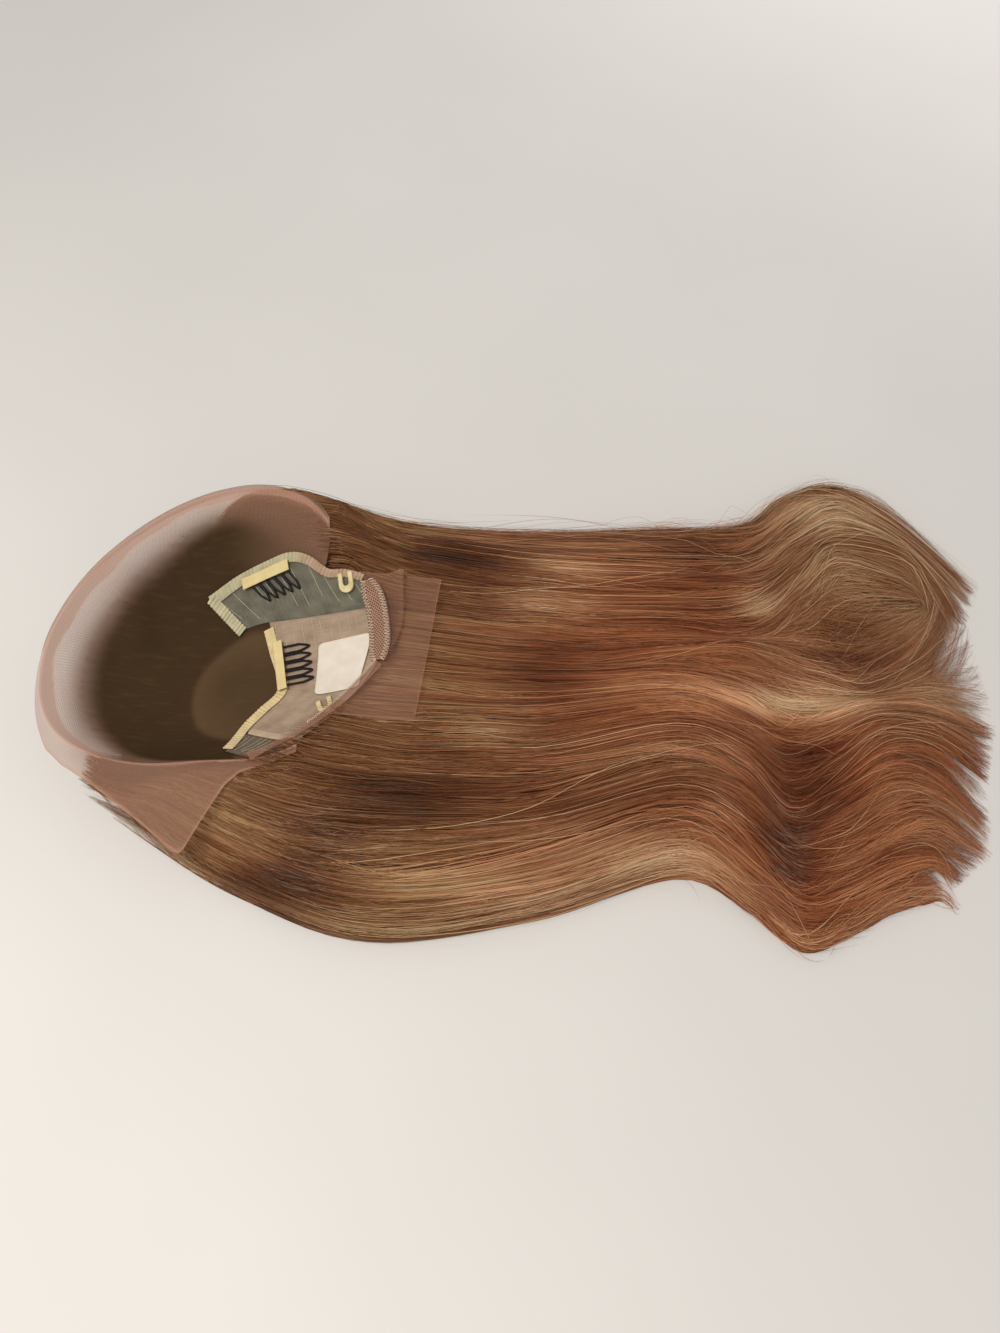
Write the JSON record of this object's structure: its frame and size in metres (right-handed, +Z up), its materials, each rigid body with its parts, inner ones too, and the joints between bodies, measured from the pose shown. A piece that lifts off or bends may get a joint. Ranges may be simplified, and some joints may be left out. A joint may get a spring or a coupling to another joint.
{
  "type": "lace front wig",
  "caption": "Wig of long hair with waved ends, lying with its cap open upwards: sheer lace cap with spare lace turned out, wefted back panels, wire combs, nape band and strap hooks.",
  "frame": {"origin": "on the surface it lies on, under the middle of the cap", "axes": "+X from the forehead edge of the cap past the nape to the hair tips, +Y to the far side of the cap, +Z up out of the open cap"},
  "size_m": [0.5736, 0.3176, 0.0858],
  "materials": {
    "hair": "satin strands, ash brown to dark blonde",
    "lace": "sheer tan-pink lace net",
    "weft_grey": "grey-green net with fine cream weft lines",
    "weft_tan": "tan net with fine weft lines",
    "seam_tape": "gathered pale woven tape",
    "nape_mesh": "pinkish brown mesh with zigzag stitching",
    "label": "smooth white woven label, blank",
    "comb_wire": "black coated wire",
    "comb_tape": "smooth butter yellow tape",
    "hook": "cream moulded plastic"
  },
  "bodies": {
    "root": {"hair": "hair", "lace_cap": "lace", "nape_lace": "lace", "back_panel_far": "weft_grey", "back_panel_mid": "weft_tan", "back_panel_near": "weft_grey", "seam_tape_far": "seam_tape", "seam_tape_near": "seam_tape", "seam_strip": "seam_tape", "nape_band": "nape_mesh", "label": "label", "comb_far": "comb_wire", "comb_mid": "comb_wire", "comb_tape_far": "comb_tape", "comb_tape_mid": "comb_tape", "strap_hook_far": "hook", "strap_hook_near": "hook"}
  },
  "joints": []
}
